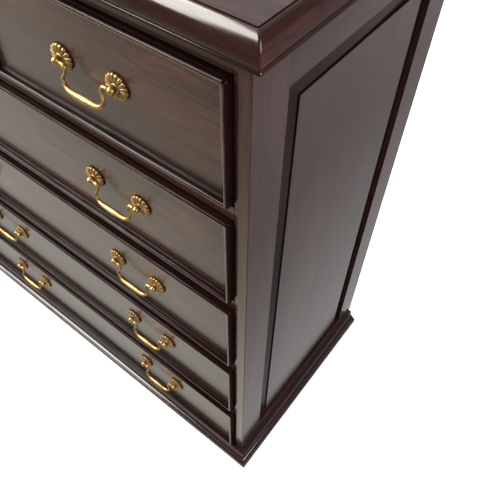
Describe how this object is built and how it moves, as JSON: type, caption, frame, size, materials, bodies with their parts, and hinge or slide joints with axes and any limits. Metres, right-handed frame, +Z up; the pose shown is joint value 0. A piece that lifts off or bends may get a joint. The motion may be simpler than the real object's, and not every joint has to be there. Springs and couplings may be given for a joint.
{
  "type": "chest of drawers",
  "caption": "Chest of drawers with short drawers over long drawers, fielded side panels, moulded top and base, and swan-neck bail handles on rosettes.",
  "frame": {"origin": "on the floor, under the middle of the whole object's box", "axes": "+X to the viewer's right as the drawers are faced, +Y to the back, so the drawers open along -Y, +Z up"},
  "size_m": [1.066, 0.54, 1.2003],
  "materials": {
    "case_wood": "dark mahogany under a polished clear lacquer",
    "drawer_wood": "dark mahogany under a polished clear lacquer",
    "drawer_lining": "plain unpolished lining wood",
    "antique_brass": "antiqued cast brass, darker in the flutes"
  },
  "bodies": {
    "case": {"left_side_frame": "case_wood", "right_side_frame": "case_wood", "left_side_panel": "case_wood", "right_side_panel": "case_wood", "top_panel": "case_wood", "top_edge_front": "case_wood", "top_edge_left": "case_wood", "top_edge_right": "case_wood", "base_moulding_front": "case_wood", "base_moulding_left": "case_wood", "base_moulding_right": "case_wood", "upper_frame": "case_wood", "rail_frame_1": "case_wood", "rail_frame_2": "case_wood", "rail_frame_3": "case_wood", "rail_frame_4": "case_wood", "bottom_frame": "case_wood", "back_panel": "drawer_lining"},
    "drawer_1_left": {"drawer_1_left_front": "drawer_wood", "drawer_1_left_box": "drawer_lining", "handle_1_left_rosette_a": "antique_brass", "handle_1_left_rosette_b": "antique_brass"},
    "drawer_1_right": {"drawer_1_right_front": "drawer_wood", "drawer_1_right_box": "drawer_lining", "handle_1_right_rosette_a": "antique_brass", "handle_1_right_rosette_b": "antique_brass"},
    "drawer_2": {"drawer_2_front": "drawer_wood", "drawer_2_box": "drawer_lining", "handle_2_left_rosette_a": "antique_brass", "handle_2_left_rosette_b": "antique_brass", "handle_2_right_rosette_a": "antique_brass", "handle_2_right_rosette_b": "antique_brass"},
    "drawer_3": {"drawer_3_front": "drawer_wood", "drawer_3_box": "drawer_lining", "handle_3_left_rosette_a": "antique_brass", "handle_3_left_rosette_b": "antique_brass", "handle_3_right_rosette_a": "antique_brass", "handle_3_right_rosette_b": "antique_brass"},
    "drawer_4": {"drawer_4_front": "drawer_wood", "drawer_4_box": "drawer_lining", "handle_4_left_rosette_a": "antique_brass", "handle_4_left_rosette_b": "antique_brass", "handle_4_right_rosette_a": "antique_brass", "handle_4_right_rosette_b": "antique_brass"},
    "drawer_5": {"drawer_5_front": "drawer_wood", "drawer_5_box": "drawer_lining", "handle_5_left_rosette_a": "antique_brass", "handle_5_left_rosette_b": "antique_brass", "handle_5_right_rosette_a": "antique_brass", "handle_5_right_rosette_b": "antique_brass"},
    "handle_1_left_bail": {"handle_1_left_bail": "antique_brass"},
    "handle_1_right_bail": {"handle_1_right_bail": "antique_brass"},
    "handle_2_left_bail": {"handle_2_left_bail": "antique_brass"},
    "handle_2_right_bail": {"handle_2_right_bail": "antique_brass"},
    "handle_3_left_bail": {"handle_3_left_bail": "antique_brass"},
    "handle_3_right_bail": {"handle_3_right_bail": "antique_brass"},
    "handle_4_left_bail": {"handle_4_left_bail": "antique_brass"},
    "handle_4_right_bail": {"handle_4_right_bail": "antique_brass"},
    "handle_5_left_bail": {"handle_5_left_bail": "antique_brass"},
    "handle_5_right_bail": {"handle_5_right_bail": "antique_brass"}
  },
  "joints": [
    {"name": "drawer_1_left_slide", "type": "slide", "parent": "case", "child": "drawer_1_left", "axis": [0, -1, 0], "range_m": [0, 0.36]},
    {"name": "drawer_1_right_slide", "type": "slide", "parent": "case", "child": "drawer_1_right", "axis": [0, -1, 0], "range_m": [0, 0.36]},
    {"name": "drawer_2_slide", "type": "slide", "parent": "case", "child": "drawer_2", "axis": [0, -1, 0], "range_m": [0, 0.36]},
    {"name": "drawer_3_slide", "type": "slide", "parent": "case", "child": "drawer_3", "axis": [0, -1, 0], "range_m": [0, 0.36]},
    {"name": "drawer_4_slide", "type": "slide", "parent": "case", "child": "drawer_4", "axis": [0, -1, 0], "range_m": [0, 0.36]},
    {"name": "drawer_5_slide", "type": "slide", "parent": "case", "child": "drawer_5", "axis": [0, -1, 0], "range_m": [0, 0.36]},
    {"name": "handle_1_left_swing", "type": "hinge", "parent": "drawer_1_left", "child": "handle_1_left_bail", "pos_m": [-0.246, -0.2523, 1.032], "axis": [-1, 0, 0], "range_deg": [0, 105]},
    {"name": "handle_1_right_swing", "type": "hinge", "parent": "drawer_1_right", "child": "handle_1_right_bail", "pos_m": [0.246, -0.2523, 1.032], "axis": [-1, 0, 0], "range_deg": [0, 105]},
    {"name": "handle_2_left_swing", "type": "hinge", "parent": "drawer_2", "child": "handle_2_left_bail", "pos_m": [-0.246, -0.2523, 0.8115], "axis": [-1, 0, 0], "range_deg": [0, 105]},
    {"name": "handle_2_right_swing", "type": "hinge", "parent": "drawer_2", "child": "handle_2_right_bail", "pos_m": [0.246, -0.2523, 0.8115], "axis": [-1, 0, 0], "range_deg": [0, 105]},
    {"name": "handle_3_left_swing", "type": "hinge", "parent": "drawer_3", "child": "handle_3_left_bail", "pos_m": [-0.246, -0.2523, 0.591], "axis": [-1, 0, 0], "range_deg": [0, 105]},
    {"name": "handle_3_right_swing", "type": "hinge", "parent": "drawer_3", "child": "handle_3_right_bail", "pos_m": [0.246, -0.2523, 0.591], "axis": [-1, 0, 0], "range_deg": [0, 105]},
    {"name": "handle_4_left_swing", "type": "hinge", "parent": "drawer_4", "child": "handle_4_left_bail", "pos_m": [-0.246, -0.2523, 0.3705], "axis": [-1, 0, 0], "range_deg": [0, 105]},
    {"name": "handle_4_right_swing", "type": "hinge", "parent": "drawer_4", "child": "handle_4_right_bail", "pos_m": [0.246, -0.2523, 0.3705], "axis": [-1, 0, 0], "range_deg": [0, 105]},
    {"name": "handle_5_left_swing", "type": "hinge", "parent": "drawer_5", "child": "handle_5_left_bail", "pos_m": [-0.246, -0.2523, 0.15], "axis": [-1, 0, 0], "range_deg": [0, 105]},
    {"name": "handle_5_right_swing", "type": "hinge", "parent": "drawer_5", "child": "handle_5_right_bail", "pos_m": [0.246, -0.2523, 0.15], "axis": [-1, 0, 0], "range_deg": [0, 105]}
  ]
}
